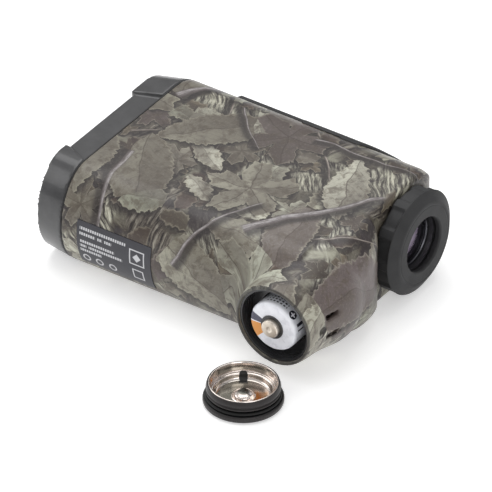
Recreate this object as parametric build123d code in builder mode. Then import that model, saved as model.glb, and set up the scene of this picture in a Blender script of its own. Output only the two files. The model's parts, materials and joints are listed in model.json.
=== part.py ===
"""A handheld laser rangefinder lying on its right side, its battery cap unscrewed beside it.

Millimetres. +X runs from the objective end to the eyepiece end along the optical axis, +Y
towards the top of the instrument with its buttons, and +Z up from the side it lies on.
The origin is on that side, straight below the optical axis, near the middle of the body.
"""

import os
from build123d import *

os.makedirs("parts", exist_ok=True)

# --- driving dimensions -------------------------------------------------------------------
THICK = 33.0  # body thickness between its two flat sides
MID = THICK / 2  # height of the plane through both optical axes
BODY_TOP = 20.9  # highest Y of the body
BODY_BOTTOM = -51.6  # lowest Y of the body
TOP_END = 14.5  # depth of the elliptical top end
BOTTOM_END = 12.5  # depth of the elliptical bottom end
WALL = 1.9

FRONT = -49.7  # foremost edge of the bezel
SEAM = -40.8  # bezel meets the body here
GASKET = 0.4
REAR = 42.3  # flat rear wall around the eyepiece
REAR_CORNER = 10.5  # plan radius of the top rear corner

BEZEL_WALL = 2.6
BEZEL_CORNER = 7.0  # plan radius of its front corners
BEZEL_NOTCH = 1.2  # depth of the flat strip across each side of the bezel
STRIP_EDGE = -48.7  # the bezel's front edge along that strip
STRIP_FRONT = (-35.5, -2.8)  # span of that strip at the front
STRIP_BACK = (-39.2, 0.1)  # and its wider span at the seam
PLATE_FRONT, PLATE_BACK = -47.4, -45.4  # front plate that frames both lenses

LASER_Y = -31.0  # laser axis below the main optical axis
OBJECTIVE_R = 11.2
LASER_R = 6.8
RING_GAP = 0.2  # the front rings are this much wider than their lenses

GRIP_X = 37.1  # axis of the battery tube, parallel to Y
MOUTH = -57.9  # open end of the battery tube
MOUTH_R = 12.5
GRIP_END = -16.5  # the squared heel of the tube ends here, just below the eyepiece
THREAD_BORE, WELL_BORE = 11.7, 9.85
THREAD_END = -50.5
WELL_END = -24.6

BARREL_R = 9.55
EYECUP_R = 15.9
EYE_HOLE = 8.3
EYE_END = 49.8

BATTERY_R, BATTERY_LENGTH = 7.8, 24.8
TERMINAL_R, TERMINAL_HEIGHT = 2.75, 1.7

CAP_X, CAP_Y = 37.7, -73.1  # where the unscrewed cap lies
CAP_R, CAP_HEIGHT = 11.6, 6.75

BUTTON_TRAVEL = 0.8
SCREW_R, SCREW_HEAD_R = 0.8, 1.5
MARGIN = 2.0  # how far cutting prisms run past what they cut


# --- helpers ------------------------------------------------------------------------------
def save(piece, name):
    """Labels a finished piece and writes its STEP file."""
    piece.part.label = name
    export_step(piece.part, f"parts/{name}.step")


def body_section(inset=0.0, top_inset=0.0, bottom_inset=0.0):
    """Adds the body's section to the Y-Z sketch in use: flat sides with elliptical ends."""
    half = MID - inset
    top, bottom = TOP_END - inset, BOTTOM_END - inset
    y_top = BODY_TOP - TOP_END - top_inset
    y_bottom = BODY_BOTTOM + BOTTOM_END + bottom_inset
    with Locations((y_top, MID)):
        Ellipse(top, half)
    with Locations((y_bottom, MID)):
        Ellipse(bottom, half)
    with Locations(((y_top + y_bottom) / 2, MID)):
        Rectangle(y_top - y_bottom, 2 * half)


def tube_along_x(start, end, outer, inner=0.0, y=0.0):
    """A round bar or tube parallel to the optical axis."""
    with BuildPart() as tube:
        with BuildSketch(Plane.YZ.offset(start)):
            with Locations((y, MID)):
                Circle(outer)
                if inner:
                    Circle(inner, mode=Mode.SUBTRACT)
        extrude(amount=end - start)
    return tube


def tube_along_y(start, end, outer, inner=0.0):
    """A round bar or tube on the battery axis, from start up to end."""
    with BuildPart() as tube:
        with BuildSketch(Plane.XZ.offset(-end)):
            with Locations((GRIP_X, MID)):
                Circle(outer)
                if inner:
                    Circle(inner, mode=Mode.SUBTRACT)
        extrude(amount=end - start)
    return tube


def lens(radius, front, back, front_sag, back_sag, y=0.0):
    """A lens turned about an axis parallel to X. Sags are positive where a face bulges out."""
    centre = Plane(origin=(0, y, MID), x_dir=(1, 0, 0), z_dir=(0, -1, 0))
    with BuildPart() as glass:
        with BuildSketch(centre):
            with BuildLine():
                SagittaArc((front, radius), (front, -radius), -front_sag)
                Line((front, -radius), (back, -radius))
                SagittaArc((back, -radius), (back, radius), -back_sag)
                Line((back, radius), (front, radius))
            make_face()
            with Locations(((front + back) / 2, -radius)):
                Rectangle(4 * radius, 2 * radius, mode=Mode.SUBTRACT)
        revolve(axis=Axis((0, y, MID), (1, 0, 0)))
    return glass


def box_between(low, high):
    """Adds a box given its lowest and highest corners."""
    middle = [(a + b) / 2 for a, b in zip(low, high)]
    with Locations(tuple(middle)):
        Box(*[b - a for a, b in zip(low, high)])


def screws(places, seat, tip, head=0.9):
    """A set of pan-head screws along Z, seated at height seat with their tips at tip."""
    direction = 1 if seat > tip else -1
    with BuildPart() as group:
        with BuildSketch(Plane.XY.offset(min(seat, tip))):
            with Locations(*places):
                Circle(SCREW_R)
        extrude(amount=abs(seat - tip))
        with BuildSketch(Plane.XY.offset(seat)):
            with Locations(*places):
                Circle(SCREW_HEAD_R)
        extrude(amount=direction * head)
    return group


# --- housing ------------------------------------------------------------------------------
# The body narrows just before its rear wall: distance from the wall, inset all round, and how
# far its top drops.
REAR_EDGE = [(4.0, 0.0, 0.0), (1.2, 0.3, 0.7), (0.0, 1.1, 2.2)]
# The battery tube widens from its mouth and runs into a squared heel of full body thickness.
# Height and half-widths along X and Z of the tube's sections, and with them the corner radius
# of the heel's.
GRIP_TUBE = [
    (MOUTH, MOUTH_R, MOUTH_R),
    (-51.0, 13.4, 13.4),
    (-45.0, 14.3, 14.5),
    (-39.0, 15.1, 15.9),
    (-33.0, 14.0, 16.2),
    (-27.0, 11.5, 16.2),
]
GRIP_HEEL = [
    (-40.0, 11.0, 14.0, 9.5),
    (-34.0, 12.0, 15.2, 10.0),
    (-29.0, 12.6, 16.25, 10.0),
    (-24.5, 12.0, 16.35, 9.0),
    (-20.5, 10.4, 16.4, 7.0),
    (GRIP_END, 7.2, 16.35, 4.5),
]
CAVITY_LOWER_REAR = GRIP_X - MOUTH_R - WALL  # the hollow stops here beside the battery well
CAVITY_TURN = -14.5  # and its rear wall starts to slant towards there at this Y
FRAME_POSTS = [(-29.0, -10.5), (-29.0, 7.5), (22.4, -10.5), (22.4, 7.5)]
BOARD_POSTS = [(-22.0, -43.0), (14.0, -43.0), (14.0, -21.5)]
BOARD_BOTTOM, BOARD_TOP = 24.6, 25.8
FRAME_BOTTOM = 3.7
BUTTONS = {"measure": (10.0, 13.0, 8.0), "mode": (-14.0, 9.0, 6.5)}  # X, length, width
BUTTON_GAP = 0.3
# wrist cord bar: its span along the tube, half its width and that plus one slot, and the
# tunnel behind it as distances from the tube's axis
LANYARD = (-49.9, -44.3)
BAR_HALF, SLOT_HALF = 2.3, 3.9
TUNNEL = (10.4, 12.1)
DRAIN_Y, DRAIN_FLOOR = -51.9, 12.2  # small blind recess beside the mouth, from the axis


def trim_rear(rear, top, corner, below, lower_rear, slant=0.0):
    """Cuts a solid of body section in plan: its top rear corner is rounded, and below a given Y
    it stops short at lower_rear, reached over a slanting stretch."""
    with BuildSketch(Plane.XY.offset(-MARGIN)) as plan:
        with BuildLine():
            RadiusArc((rear - corner, top), (rear, top - corner), corner)
            Polyline(
                (rear, top - corner),
                (rear + MARGIN, top - corner),
                (rear + MARGIN, top + MARGIN),
                (rear - corner, top + MARGIN),
                (rear - corner, top),
            )
        make_face()
        Polygon(
            (rear + MARGIN, below),
            (rear, below),
            (lower_rear, below - slant),
            (lower_rear, BODY_BOTTOM - MARGIN),
            (rear + MARGIN, BODY_BOTTOM - MARGIN),
            align=None,
        )
    extrude(plan.sketch, amount=THICK + 2 * MARGIN, mode=Mode.SUBTRACT)


with BuildPart() as cavity:
    with BuildSketch(Plane.YZ.offset(SEAM)):
        body_section(inset=WALL)
    extrude(amount=REAR - WALL - SEAM)
    trim_rear(
        REAR - WALL,
        BODY_TOP - WALL,
        REAR_CORNER - WALL,
        CAVITY_TURN,
        CAVITY_LOWER_REAR,
        slant=CAVITY_TURN - WELL_END,
    )

with BuildPart() as housing:
    with BuildSketch(Plane.YZ.offset(SEAM + GASKET)):
        body_section()
    extrude(amount=REAR - REAR_EDGE[0][0] - SEAM - GASKET)
    for pair in (REAR_EDGE[:2], REAR_EDGE[1:]):
        for before, inset, drop in pair:
            with BuildSketch(Plane.YZ.offset(REAR - before)):
                body_section(inset=inset, top_inset=drop)
        loft()
    trim_rear(REAR, BODY_TOP, REAR_CORNER, GRIP_END, GRIP_X, slant=GRIP_END - WELL_END)
    # battery tube and its heel
    for y, half_x, half_z in GRIP_TUBE:
        with BuildSketch(Plane.XZ.offset(-y)):
            with Locations((GRIP_X, MID)):
                Ellipse(half_x, half_z)
    loft()
    for y, half_x, half_z, corner in GRIP_HEEL:
        with BuildSketch(Plane.XZ.offset(-y)):
            with Locations((GRIP_X, MID)):
                RectangleRounded(2 * half_x, 2 * half_z, corner)
    loft()
    # hollow for the optics and boards
    add(cavity.part, mode=Mode.SUBTRACT)
    # eyepiece bore, battery well and its wider threaded mouth
    with BuildSketch(Plane.YZ.offset(REAR - 2 * WALL)):
        with Locations((0, MID)):
            Circle(BARREL_R)
    extrude(amount=3 * WALL, mode=Mode.SUBTRACT)
    for bore, end in ((WELL_BORE, WELL_END), (THREAD_BORE, THREAD_END)):
        with BuildSketch(Plane.XZ.offset(-end)):
            with Locations((GRIP_X, MID)):
                Circle(bore)
        extrude(amount=end - MOUTH + 1, mode=Mode.SUBTRACT)
    # posts for the optical frame and the main board, with pilot holes
    for places, top in ((FRAME_POSTS, FRAME_BOTTOM), (BOARD_POSTS, BOARD_BOTTOM)):
        with BuildSketch(Plane.XY.offset(WALL)):
            with Locations(*places):
                Circle(2.0)
        extrude(amount=top - WALL)
        with BuildSketch(Plane.XY.offset(top)):
            with Locations(*places):
                Circle(SCREW_R)
        extrude(amount=-min(5.0, top - WALL + 0.4), mode=Mode.SUBTRACT)
    # windows for the two buttons
    for x, length, width in BUTTONS.values():
        with BuildSketch(Plane.XZ.offset(-BODY_TOP - MARGIN)):
            with Locations((x, MID)):
                SlotOverall(length + 2 * BUTTON_GAP, width + 2 * BUTTON_GAP)
        extrude(amount=3 * MARGIN, mode=Mode.SUBTRACT)
    # groove that the positive contact strip lies in, beside the battery well
    with BuildSketch(Plane.XZ.offset(-WELL_END)):
        with Locations((GRIP_X, MID + WELL_BORE + 0.1)):
            Rectangle(4.4, 1.4)
    extrude(amount=WELL_END - THREAD_END, mode=Mode.SUBTRACT)
    # bar for a wrist cord at the back of the tube: two slots and the tunnel that joins them
    middle = (LANYARD[0] + LANYARD[1]) / 2
    length = LANYARD[1] - LANYARD[0]
    for side in (-1, 1):
        with Locations((GRIP_X + TUNNEL[0], middle, MID + side * (BAR_HALF + SLOT_HALF) / 2)):
            Box(
                THICK / 2,
                length,
                SLOT_HALF - BAR_HALF,
                align=(Align.MIN, Align.CENTER, Align.CENTER),
                mode=Mode.SUBTRACT,
            )
    with Locations((GRIP_X + sum(TUNNEL) / 2, middle, MID)):
        Box(TUNNEL[1] - TUNNEL[0], length, 2 * SLOT_HALF, mode=Mode.SUBTRACT)
    with Locations((GRIP_X + DRAIN_FLOOR + MARGIN, DRAIN_Y, MID + 0.2)):
        Box(2 * MARGIN, 2.6, 2.2, mode=Mode.SUBTRACT)
save(housing, "main_housing")

# --- bezel --------------------------------------------------------------------------------
with BuildPart() as bezel:
    with BuildSketch(Plane.YZ.offset(SEAM)):
        body_section(inset=0.05)
    with BuildSketch(Plane.YZ.offset(FRONT)):
        body_section(inset=0.6, top_inset=2.6, bottom_inset=0.8)
    loft()
    # front corners rounded in plan
    with BuildSketch(Plane.XY.offset(-MARGIN)):
        with Locations(((FRONT + SEAM) / 2, (BODY_TOP + BODY_BOTTOM) / 2)):
            Rectangle(2 * (SEAM - FRONT), 2 * (BODY_TOP - BODY_BOTTOM))
        with Locations(((FRONT + SEAM) / 2 + 10, (BODY_TOP + BODY_BOTTOM) / 2)):
            RectangleRounded(
                SEAM - FRONT + 20, BODY_TOP - BODY_BOTTOM, BEZEL_CORNER, mode=Mode.SUBTRACT
            )
    extrude(amount=THICK + 2 * MARGIN, mode=Mode.SUBTRACT)
    # flat strip sunk into each side, widening towards the seam
    for low in (-MARGIN, THICK - BEZEL_NOTCH):
        with BuildSketch(Plane.XY.offset(low)):
            Polygon(
                (FRONT - MARGIN, STRIP_FRONT[0]),
                (FRONT - MARGIN, STRIP_FRONT[1]),
                (STRIP_EDGE, STRIP_FRONT[1]),
                (SEAM, STRIP_BACK[1]),
                (SEAM, STRIP_BACK[0]),
                (STRIP_EDGE, STRIP_FRONT[0]),
                align=None,
            )
        extrude(amount=MARGIN + BEZEL_NOTCH, mode=Mode.SUBTRACT)
    # and the front edge steps back there
    with BuildSketch(Plane.XY.offset(-MARGIN)):
        with Locations((STRIP_EDGE, STRIP_FRONT[0])):
            Rectangle(2 * MARGIN, STRIP_FRONT[1] - STRIP_FRONT[0], align=(Align.MAX, Align.MIN))
    extrude(amount=THICK + 2 * MARGIN, mode=Mode.SUBTRACT)
    # hood in front of the plate, and hollow behind it
    with BuildSketch(Plane.YZ.offset(FRONT - MARGIN)):
        body_section(inset=BEZEL_WALL, top_inset=2.4, bottom_inset=0.6)
    extrude(amount=PLATE_FRONT - FRONT + MARGIN, mode=Mode.SUBTRACT)
    with BuildSketch(Plane.YZ.offset(PLATE_BACK)):
        body_section(inset=BEZEL_WALL, top_inset=1.0)
    extrude(amount=SEAM - PLATE_BACK, mode=Mode.SUBTRACT)
    # lens windows in the plate
    with BuildSketch(Plane.YZ.offset(PLATE_FRONT)):
        for y, radius in ((0, OBJECTIVE_R), (LASER_Y, LASER_R)):
            with Locations((y, MID)):
                Circle(radius + RING_GAP)
    extrude(amount=PLATE_BACK - PLATE_FRONT, mode=Mode.SUBTRACT)
    # spigot that enters the housing
    with BuildSketch(Plane.YZ.offset(SEAM - 1.0)):
        body_section(inset=WALL + 0.1)
    extrude(amount=4.0)
    with BuildSketch(Plane.YZ.offset(PLATE_BACK)):
        body_section(inset=WALL + 1.3)
    extrude(amount=SEAM - PLATE_BACK + 3.0 + 1.0, mode=Mode.SUBTRACT)
save(bezel, "front_bezel")

with BuildPart() as gasket:
    with BuildSketch(Plane.YZ.offset(SEAM)):
        body_section(inset=0.3)
    extrude(amount=GASKET)
    with BuildSketch(Plane.YZ.offset(SEAM)):
        body_section(inset=WALL)
    extrude(amount=GASKET, mode=Mode.SUBTRACT)
save(gasket, "bezel_gasket")

# --- front optics -------------------------------------------------------------------------
RING_FRONT = PLATE_FRONT + 0.3
save(
    tube_along_x(RING_FRONT, PLATE_BACK, OBJECTIVE_R + RING_GAP, OBJECTIVE_R - 0.9),
    "objective_retaining_ring",
)
save(lens(OBJECTIVE_R, -44.9, -41.9, 1.2, 0.5), "objective_lens")
save(tube_along_x(PLATE_BACK, -36.2, OBJECTIVE_R + 1.2, OBJECTIVE_R), "objective_cell")
save(lens(LASER_R, -44.9, -42.6, 1.3, 0.3, LASER_Y), "laser_lens")
save(tube_along_x(PLATE_BACK, -30.0, LASER_R + 0.8, LASER_R, LASER_Y), "laser_lens_tube")
save(
    tube_along_x(RING_FRONT, PLATE_BACK, LASER_R + RING_GAP, LASER_R - 0.7, LASER_Y),
    "laser_retaining_ring",
)

with BuildPart() as laser_diode:
    with BuildSketch(Plane.YZ.offset(-29.9)):
        with Locations((LASER_Y, MID)):
            Circle(6.0)
    extrude(amount=7.0)
    with BuildSketch(Plane.YZ.offset(-22.9)):
        with Locations((LASER_Y, MID)):
            Circle(3.0)
    extrude(amount=3.0)
save(laser_diode, "laser_diode")

# --- optical frame and what it carries ----------------------------------------------------
FRAME_LOW, FRAME_HIGH = (-36.1, -13.4, FRAME_BOTTOM), (26.2, 11.4, 25.5)
FRAME_WALL = 1.4
with BuildPart() as optical_frame:
    box_between(FRAME_LOW, FRAME_HIGH)
    low = [v + FRAME_WALL for v in FRAME_LOW]
    high = [v - FRAME_WALL for v in FRAME_HIGH]
    middle = [(a + b) / 2 for a, b in zip(low, high)]
    with Locations((middle[0], middle[1], middle[2] + MARGIN)):
        Box(
            high[0] - low[0],
            high[1] - low[1],
            high[2] - low[2] + 2 * MARGIN,
            mode=Mode.SUBTRACT,
        )
    # windows for the light path at each end
    for x, radius in ((FRAME_LOW[0], 8.6), (high[0], 6.0)):
        with BuildSketch(Plane.YZ.offset(x)):
            with Locations((0, MID)):
                Circle(radius)
        extrude(amount=FRAME_WALL, mode=Mode.SUBTRACT)
    # window for the receiver in the lower wall, and holes for the frame's screws
    with BuildSketch(Plane.XZ.offset(-low[1])):
        with Locations((2.0, MID)):
            Circle(4.0)
    extrude(amount=FRAME_WALL, mode=Mode.SUBTRACT)
    with BuildSketch(Plane.XY.offset(FRAME_BOTTOM)):
        with Locations(*FRAME_POSTS):
            Circle(SCREW_R)
    extrude(amount=FRAME_WALL, mode=Mode.SUBTRACT)
save(optical_frame, "optical_frame")
save(screws(FRAME_POSTS, FRAME_BOTTOM + FRAME_WALL, FRAME_BOTTOM - 1.8), "frame_screws")

PRISM_FLOOR = FRAME_BOTTOM + FRAME_WALL
PRISM_HEIGHT = 18.6
with BuildPart() as front_prism:
    with BuildSketch(Plane.XY.offset(PRISM_FLOOR + 1.4)):
        Polygon((-8.5, -9.5), (5.5, -9.5), (5.5, 9.5), (-2.5, 9.5), (-8.5, 3.5), align=None)
    extrude(amount=PRISM_HEIGHT)
save(front_prism, "beam_splitter_prism")

with BuildPart() as rear_prism:
    with BuildSketch(Plane.XY.offset(PRISM_FLOOR + 1.4)):
        Polygon((5.9, -9.5), (17.5, -9.5), (19.5, -6.0), (19.5, 9.5), (5.9, 9.5), align=None)
    extrude(amount=PRISM_HEIGHT)
    chamfer(rear_prism.edges().filter_by(Axis.Z).sort_by(Axis.X)[-1], 2.0)
save(rear_prism, "roof_prism")

with BuildPart() as prism_holder:
    box_between((-9.5, -10.5, PRISM_FLOOR), (20.5, 9.9, PRISM_FLOOR + 1.4))
save(prism_holder, "prism_holder")

with BuildPart() as receiver:
    with BuildSketch(Plane.XZ.offset(-FRAME_LOW[1])):
        with Locations((2.0, MID)):
            Circle(4.6)
    extrude(amount=1.0)
    with BuildSketch(Plane.XZ.offset(-FRAME_LOW[1] + 1.0)):
        with Locations((2.0, MID)):
            Circle(4.1)
    extrude(amount=3.0)
save(receiver, "photodiode_receiver")

with BuildPart() as receiver_board:
    box_between((-5.0, -18.6, 9.0), (9.0, -17.4, 24.0))
save(receiver_board, "receiver_board")

with BuildPart() as display:
    box_between((22.6, -7.0, 9.0), (23.8, 7.0, 24.0))
save(display, "display_panel")

# --- eyepiece -----------------------------------------------------------------------------
INNER_REAR = REAR - WALL
with BuildPart() as barrel:
    with BuildSketch(Plane.YZ.offset(26.4)):
        with Locations((0, MID)):
            Circle(BARREL_R)
    extrude(amount=47.2 - 26.4)
    with BuildSketch(Plane.YZ.offset(INNER_REAR - 1.8)):
        with Locations((0, MID)):
            Circle(BARREL_R + 0.9)
    extrude(amount=1.6)
    with BuildSketch(Plane.YZ.offset(26.4)):
        with Locations((0, MID)):
            Circle(BARREL_R - 1.2)
    extrude(amount=47.2 - 26.4, mode=Mode.SUBTRACT)
save(barrel, "eyepiece_barrel")
save(lens(8.3, 28.6, 31.4, 0.8, 0.8), "field_lens")
save(tube_along_x(31.9, 32.9, 8.3, 7.4), "field_lens_ring")

save(tube_along_x(35.2, 45.6, 8.3, 7.3), "ocular_cell")
save(lens(7.25, 38.4, 43.0, 1.0, 1.3), "ocular_lens")
save(tube_along_x(43.35, 44.3, 7.3, 6.4), "ocular_retaining_ring")

RING_START = REAR + 0.35
save(tube_along_x(RING_START, 48.0, 11.6, BARREL_R + 0.05), "diopter_ring")

with BuildPart() as eyecup:
    with BuildSketch(Plane.XZ) as half:
        with BuildLine():
            Polyline(
                (RING_START, MID + 11.6),
                (RING_START, MID + EYECUP_R - 0.5),
                (RING_START + 0.6, MID + EYECUP_R),
                (EYE_END - 2.0, MID + EYECUP_R),
                (EYE_END, MID + EYECUP_R - 2.4),
                (EYE_END, MID + EYE_HOLE + 0.3),
                (EYE_END - 0.3, MID + EYE_HOLE),
                (48.0, MID + EYE_HOLE),
                (48.0, MID + 11.6),
                close=True,
            )
        make_face()
    revolve(axis=Axis((0, 0, MID), (1, 0, 0)))
    # finger scallops around its front half
    with BuildSketch(Plane.YZ.offset(RING_START)):
        with Locations((0, MID)):
            with PolarLocations(EYECUP_R + 4.0, 10, start_angle=18):
                Circle(4.6)
    extrude(amount=2.4, mode=Mode.SUBTRACT)
save(eyecup, "rubber_eyecup")

# --- electronics --------------------------------------------------------------------------
with BuildPart() as main_board:
    box_between((-26.0, -46.0, BOARD_BOTTOM), (18.0, -18.8, BOARD_TOP))
    with BuildSketch(Plane.XY.offset(BOARD_BOTTOM)):
        with Locations(*BOARD_POSTS):
            Circle(SCREW_R)
    extrude(amount=BOARD_TOP - BOARD_BOTTOM, mode=Mode.SUBTRACT)
save(main_board, "main_board")
save(screws(BOARD_POSTS, BOARD_TOP, BOARD_BOTTOM - 3.6), "board_screws")

with BuildPart() as chips:
    for x, y, size_x, size_y, height in (
        (-4.0, -32.0, 9.0, 9.0, 1.2),
        (-15.0, -29.0, 5.0, 4.0, 1.0),
        (9.0, -34.0, 6.0, 8.0, 2.4),
        (-12.0, -39.0, 4.0, 6.0, 1.6),
    ):
        with Locations((x, y, BOARD_TOP + height / 2)):
            Box(size_x, size_y, height)
save(chips, "board_chips")

BUTTON_BOARD_Y = 12.4
BUTTON_BOARD = 1.2
with BuildPart() as button_board:
    box_between((-20.0, BUTTON_BOARD_Y, 10.0), (20.0, BUTTON_BOARD_Y + BUTTON_BOARD, 23.0))
save(button_board, "button_board")

RIBBON = 0.3
with BuildPart() as ribbon:
    with BuildSketch(Plane.YZ.offset(-12.0)):
        Polygon(
            (-25.0, BOARD_TOP),
            (BUTTON_BOARD_Y - RIBBON, BOARD_TOP),
            (BUTTON_BOARD_Y - RIBBON, 20.0),
            (BUTTON_BOARD_Y, 20.0),
            (BUTTON_BOARD_Y, BOARD_TOP + RIBBON),
            (-25.0, BOARD_TOP + RIBBON),
            align=None,
        )
    extrude(amount=8.0)
save(ribbon, "ribbon_cable")

# --- buttons ------------------------------------------------------------------------------
PAD_THICK = 1.0
PAD_START, PAD_STEP, PAD_END = -28.0, -1.5, 31.6
SWITCH_TOP = BUTTON_BOARD_Y + BUTTON_BOARD + 3.0
FLANGE_BOTTOM = SWITCH_TOP + BUTTON_TRAVEL + 0.1
FLANGE_TOP = FLANGE_BOTTOM + 0.7
BUTTON_TOP = BODY_TOP + PAD_THICK + BUTTON_TRAVEL + 0.1

for name, (x, length, width) in BUTTONS.items():
    with BuildPart() as switch:
        box_between(
            (x - 3.0, BUTTON_BOARD_Y + BUTTON_BOARD, MID - 3.0),
            (x + 3.0, SWITCH_TOP - 0.8, MID + 3.0),
        )
        with BuildSketch(Plane.XZ.offset(-SWITCH_TOP)):
            with Locations((x, MID)):
                Circle(1.7)
        extrude(amount=0.8)
    save(switch, f"{name}_switch")

    with BuildPart() as button:
        with BuildSketch(Plane.XZ.offset(-BUTTON_TOP)):
            with Locations((x, MID)):
                SlotOverall(length, width)
        extrude(amount=BUTTON_TOP - FLANGE_TOP)
        fillet(button.faces().sort_by(Axis.Y)[-1].edges(), 0.6)
        with BuildSketch(Plane.XZ.offset(-FLANGE_TOP)):
            with Locations((x, MID)):
                SlotOverall(length + 2.0, width + 1.4)
        extrude(amount=FLANGE_TOP - FLANGE_BOTTOM)
    save(button, f"{name}_button")

with BuildPart() as top_pad:
    with BuildSketch(Plane.YZ.offset(PAD_START)):
        with Locations((BODY_TOP - TOP_END, MID)):
            Ellipse(TOP_END + PAD_THICK, MID + PAD_THICK - 0.1)
            Ellipse(TOP_END, MID, mode=Mode.SUBTRACT)
        with Locations((BODY_TOP - TOP_END, MID)):
            Rectangle(2 * THICK, 2 * THICK, align=(Align.MAX, Align.CENTER), mode=Mode.SUBTRACT)
    extrude(amount=PAD_END - PAD_START)
    # outline seen from above: a narrow front part and a wider rear part that tapers away
    with BuildSketch(Plane.XZ.offset(-BODY_TOP - MARGIN)):
        with Locations(((PAD_START + PAD_END) / 2, MID)):
            Rectangle(2 * (PAD_END - PAD_START), 2 * THICK)
        with Locations((0, MID)):
            Polygon(
                (PAD_START, 10.0),
                (PAD_START + 3.0, 13.0),
                (PAD_STEP - 1.5, 13.0),
                (PAD_STEP, 14.8),
                (PAD_STEP + 20.0, 15.1),
                (PAD_END, 9.0),
                (PAD_END, -9.0),
                (PAD_STEP + 20.0, -15.1),
                (PAD_STEP, -14.8),
                (PAD_STEP - 1.5, -13.0),
                (PAD_START + 3.0, -13.0),
                (PAD_START, -10.0),
                align=None,
                mode=Mode.SUBTRACT,
            )
    extrude(amount=THICK, mode=Mode.SUBTRACT)
    for x, length, width in BUTTONS.values():
        with BuildSketch(Plane.XZ.offset(-BODY_TOP - MARGIN)):
            with Locations((x, MID)):
                SlotOverall(length + 2 * BUTTON_GAP, width + 2 * BUTTON_GAP)
        extrude(amount=3 * MARGIN, mode=Mode.SUBTRACT)
save(top_pad, "top_pad")

# --- label --------------------------------------------------------------------------------
LABEL_THICK = 0.25
with BuildPart() as label_plate:
    with BuildSketch(Plane.YZ.offset(-34.7)):
        with Locations((BODY_BOTTOM + BOTTOM_END, MID)):
            Ellipse(BOTTOM_END + LABEL_THICK, MID + LABEL_THICK)
            Ellipse(BOTTOM_END, MID, mode=Mode.SUBTRACT)
        with Locations((BODY_BOTTOM + BOTTOM_END - MARGIN, 13.7)):
            Rectangle(THICK, 15.4, align=(Align.MAX, Align.CENTER), mode=Mode.INTERSECT)
    extrude(amount=25.6)
save(label_plate, "label_plate")

# --- battery compartment ------------------------------------------------------------------
BATTERY_INNER = MOUTH + BATTERY_LENGTH
CONTACT_Y = -26.0
WELL_R = BATTERY_R + 0.35
with BuildPart() as battery_tube:
    with BuildSketch(Plane.XY.offset(MID)):
        with BuildLine():
            Polyline(
                (GRIP_X + 11.0, MOUTH + 0.9),
                (GRIP_X + THREAD_BORE, MOUTH + 0.9),
                (GRIP_X + THREAD_BORE, THREAD_END),
                (GRIP_X + WELL_BORE, THREAD_END),
                (GRIP_X + WELL_BORE, WELL_END),
                (GRIP_X, WELL_END),
                (GRIP_X, WELL_END - 1.0),
                (GRIP_X + WELL_R, WELL_END - 1.0),
                (GRIP_X + WELL_R, THREAD_END - 1.2),
                (GRIP_X + 11.0, THREAD_END - 1.2),
                close=True,
            )
        make_face()
        # thread grooves for the cap
        for k in range(2):
            with Locations((GRIP_X + 11.0, MOUTH + 2.4 + 1.6 * k)):
                Rectangle(0.7, 0.7, mode=Mode.SUBTRACT)
    revolve(axis=Axis((GRIP_X, 0, MID), (0, 1, 0)))
save(battery_tube, "battery_tube")

save(tube_along_y(CONTACT_Y, WELL_END - 1.0, 7.4), "negative_contact")

with BuildPart() as positive_contact:
    box_between(
        (GRIP_X - 2.0, THREAD_END + 0.4, MID + WELL_BORE + 0.2),
        (GRIP_X + 2.0, WELL_END - 0.4, MID + WELL_BORE + 0.6),
    )
save(positive_contact, "positive_contact_strip")

SPRING_R, SPRING_WIRE = 5.0, 0.35
SPRING_LOW, SPRING_HIGH = BATTERY_INNER + SPRING_WIRE, CONTACT_Y - SPRING_WIRE
with BuildPart() as spring:
    with BuildLine() as coil:
        Helix(
            pitch=(SPRING_HIGH - SPRING_LOW) / 4,
            height=SPRING_HIGH - SPRING_LOW,
            radius=SPRING_R,
            center=(GRIP_X, SPRING_LOW, MID),
            direction=(0, 1, 0),
        )
    with BuildSketch(Plane(origin=coil.line @ 0, z_dir=coil.line % 0)):
        Circle(SPRING_WIRE)
    sweep(is_frenet=True)
save(spring, "negative_spring")

battery = tube_along_y(MOUTH, BATTERY_INNER, BATTERY_R)
with battery:
    fillet(battery.faces().sort_by(Axis.Y)[0].edges(), 0.9)
    fillet(battery.faces().sort_by(Axis.Y)[-1].edges(), 0.5)
save(battery, "battery_cell")
save(tube_along_y(MOUTH - 0.25, MOUTH, 3.7, TERMINAL_R + 0.05), "battery_insulator")
terminal = tube_along_y(MOUTH - TERMINAL_HEIGHT, MOUTH, TERMINAL_R)
with terminal:
    fillet(terminal.faces().sort_by(Axis.Y)[0].edges(), 0.35)
save(terminal, "battery_terminal")

# --- battery cap, lying beside the tube with its inside up --------------------------------
CAP_FLANGE = 2.2
SKIRT_R, GROOVE_R, CUP_R = 10.7, 9.95, 10.2
CUP_INNER = 9.5
SEAL_WIRE, SEAL_SEAT = 0.5, 0.52  # its section's radius, and the seat's distance from its middle


def turned_at_cap(points):
    """A solid turned about the cap's upright axis from radius and height points."""
    with BuildPart() as turned:
        with BuildSketch(Plane.XZ.offset(-CAP_Y)) as profile:
            with Locations((CAP_X, 0)):
                Polygon(*points, align=None)
        revolve(profile.sketch, axis=Axis((CAP_X, CAP_Y, 0), (0, 0, 1)))
    return turned


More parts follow.
